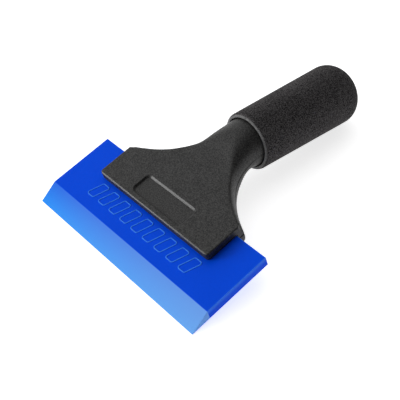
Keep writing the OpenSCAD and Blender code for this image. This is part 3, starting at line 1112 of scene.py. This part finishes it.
def cast_urethane():
    """Deep blue urethane, with a painted glow where it thins to the edge, a painted sheen on the bevel and
    painted highlights on its rims and raised bars.
    """
    material, tree, shader, place = finish("cast_urethane", 0.25, Specular_IOR_Level=0.03)
    mask, height = grained(tree, place, size=1.6, mottle=30.0, share=0.6)
    across, depth, up = add(tree, "ShaderNodeSeparateXYZ", {0: place}).outputs
    # crest is a painted highlight colour for the raised bars' lines.
    deep, full, crest = (0.001, 0.072, 0.8), (0.001, 0.08, 0.86), (0.06, 0.3, 1.0)
    # lit_rim and lit_bevel are painted highlight colours, for the rims and for the bevel.
    lit_rim, lit_bevel = (0.045, 0.22, 0.97), (0.28, 0.56, 0.97)
    face = blended(tree, between(tree, mask, 0.35, 0.65), deep, full)
    # Painted highlight on the raised bars: their lines are lightened towards the crest colour.
    raised = maths(tree, "MULTIPLY", between(tree, up, BLADE_T + 0.01, BLADE_T + 0.1), 0.8)
    face = blended(tree, raised, face, crest)
    # Painted highlight along the rims of the ends and the back, fading down the end faces.
    from_end = maths(tree, "SUBTRACT", BLADE_W / 2, maths(tree, "ABSOLUTE", across))
    from_back = maths(tree, "SUBTRACT", BLADE_DEPTH, depth)
    rim = between(tree, maths(tree, "MINIMUM", from_end, from_back), 0.6, 0.1)
    glow = add(
        tree, "ShaderNodeMapRange", {"Value": up, "From Max": BLADE_T, "To Min": -0.9, "To Max": 0.85}
    )
    face = blended(tree, maths(tree, "MULTIPLY", rim, glow.outputs[0]), face, lit_rim)
    # Painted glow of light through the thin bevel, paler towards the edge.
    painted_thin_glow = add(tree, "ShaderNodeValToRGB", {"Fac": between(tree, depth, BEVEL_RUN, 0.0)})
    painted_thin_glow.color_ramp.elements[0].color = (0.025, 0.15, 0.8, 1)
    painted_thin_glow.color_ramp.elements[1].color = (0.02, 0.29, 0.97, 1)
    # Painted sheen across the bevel, stronger towards one end.
    sheen = maths(tree, "MULTIPLY", between(tree, across, -BLADE_W / 2, BLADE_W / 2), 0.55)
    bevel = blended(tree, sheen, painted_thin_glow.outputs[0], lit_bevel)
    above = between(tree, up, 0.1, EDGE_LAND)
    on_bevel = maths(tree, "MULTIPLY", between(tree, depth, BEVEL_RUN, BEVEL_RUN - 0.3), above)
    tree.links.new(blended(tree, on_bevel, face, bevel), shader.inputs["Base Color"])
    bumped(tree, shader, height, strength=0.05, distance=0.0001)
    return material


def metal(name, colour, roughness, grain):
    """A finely grained metal with duller patches."""
    material, tree, shader, place = finish(name, roughness, Metallic=1.0)
    mask, height = grained(tree, place, size=grain, mottle=3.0, share=0.4)
    dull = tuple(c * 0.7 for c in colour)
    tree.links.new(blended(tree, between(tree, mask, 0.35, 0.6), dull, colour), shader.inputs["Base Color"])
    bumped(tree, shader, height, strength=0.1, distance=0.00003)
    return material


def light_table():
    """White table top, lit from below as well."""
    material, tree, shader, place = finish("light_table", 0.9, Specular_IOR_Level=0.0)
    mask = grained(tree, place, size=3.0, mottle=200.0, share=0.5)[0]
    low, high = (0.88, 0.88, 0.885), (0.9, 0.9, 0.9)
    tree.links.new(blended(tree, between(tree, mask, 0.3, 0.7), low, high), shader.inputs["Base Color"])
    shader.inputs["Emission Color"].default_value = (1, 1, 1, 1)
    shader.inputs["Emission Strength"].default_value = 0.74
    return material


# ---- The object --------------------------------------------------------------------------------

PLASTIC = moulded_plastic()
FOAM = closed_cell_foam()
URETHANE = cast_urethane()
ZINC = metal("zinc_plate", (0.55, 0.56, 0.58), roughness=0.32, grain=0.25)
BRASS = metal("turned_brass", (0.68, 0.5, 0.22), roughness=0.3, grain=0.3)


def dressed(item, material, body, slot_name, *nodes):
    """Gives a finished piece its material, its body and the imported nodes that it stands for."""
    item.data.materials.clear()
    item.data.materials.append(material)
    smoothed(item)
    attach(item, body)
    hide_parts(*nodes)
    return item


dressed(blade(), URETHANE, "blade", "blade_urethane", "blade")
dressed(front_shell(), PLASTIC, "handle", "shell_plastic", "front_shell")
dressed(back_shell(), PLASTIC, "handle", "shell_plastic", "back_shell")
sleeve = dressed(foam_sleeve(), FOAM, "handle", "grip_foam", "foam_grip")
for spot in SCREW_PLACES:
    dressed(pan_screw(f"{spot}_pan_screw", spot), ZINC, "handle", "zinc_screw", f"{spot}_screw")
    dressed(threaded_insert(f"{spot}_brass_insert", spot), BRASS, "handle", "brass_insert", f"{spot}_insert")

# ---- Floor, light and camera -------------------------------------------------------------------

FLOOR_HALF = 20.0
FLOOR_CORNERS = ((-1, -1), (1, -1), (1, 1), (-1, 1))
floor = piece("floor", [(x * FLOOR_HALF, y * FLOOR_HALF, 0) for x, y in FLOOR_CORNERS], [(0, 1, 2, 3)])
floor.data.materials.append(light_table())


def studio_dome(towards, bright, dark):
    """A tent of light, bright in the direction given and dim on the other side."""
    fade_from, fade_to = -0.15, 0.9
    sky = bpy.data.worlds.new("studio_dome")
    sky.use_nodes = True
    tree = sky.node_tree
    direction = add(tree, "ShaderNodeTexCoord").outputs["Generated"]
    facing = add(
        tree,
        "ShaderNodeVectorMath",
        {0: direction, 1: Vector(towards).normalized()},
        operation="DOT_PRODUCT",
    )
    level = add(
        tree,
        "ShaderNodeMapRange",
        {
            "Value": facing.outputs["Value"],
            "From Min": fade_from,
            "From Max": fade_to,
            "To Min": dark,
            "To Max": bright,
        },
        interpolation_type="SMOOTHSTEP",
    )
    tree.links.new(level.outputs[0], tree.nodes["Background"].inputs["Strength"])
    tree.nodes["Background"].inputs["Color"].default_value = (1, 1, 1, 1)
    bpy.context.scene.world = sky


studio_dome(towards=(-0.9, 0.1, 0.42), bright=1.18, dark=0.06)


def softbox(name, place, size, power):
    """A square soft light at a place in metres, aimed at the middle of the tool."""
    lamp = bpy.data.lights.new(name, "AREA")
    lamp.shape = "SQUARE"
    lamp.size = size
    lamp.energy = power
    holder = bpy.data.objects.new(name, lamp)
    bpy.context.collection.objects.link(holder)
    holder.location = place
    holder.rotation_euler = (-Vector(place)).to_track_quat("-Z", "Y").to_euler()


softbox("strip", place=(-0.6, -0.765, 0.24), size=0.35, power=4.5)

# The camera, with its place, its aim and its up direction in the blade's frame
camera = bpy.data.cameras.new("camera")
camera.lens = 76.5
camera.sensor_width = 36
camera.clip_start = 0.01
viewer = bpy.data.objects.new("camera", camera)
bpy.context.collection.objects.link(viewer)
eye = Vector((263.1, -70.8, 336.7))
aim = Vector((7.4, 55.7, 0))
up_hint = Vector((-0.4865, 0.6295, 0.6059))
forward = (aim - eye).normalized()
right = forward.cross(up_hint).normalized()
axes = Matrix((right, right.cross(forward), -forward)).transposed()
viewer.matrix_world = Matrix.Translation(BENCH @ eye) @ Matrix.Rotation(REST_TILT, 4, "X") @ axes.to_4x4()
bpy.context.scene.camera = viewer
bpy.context.scene.view_settings.view_transform = "Standard"
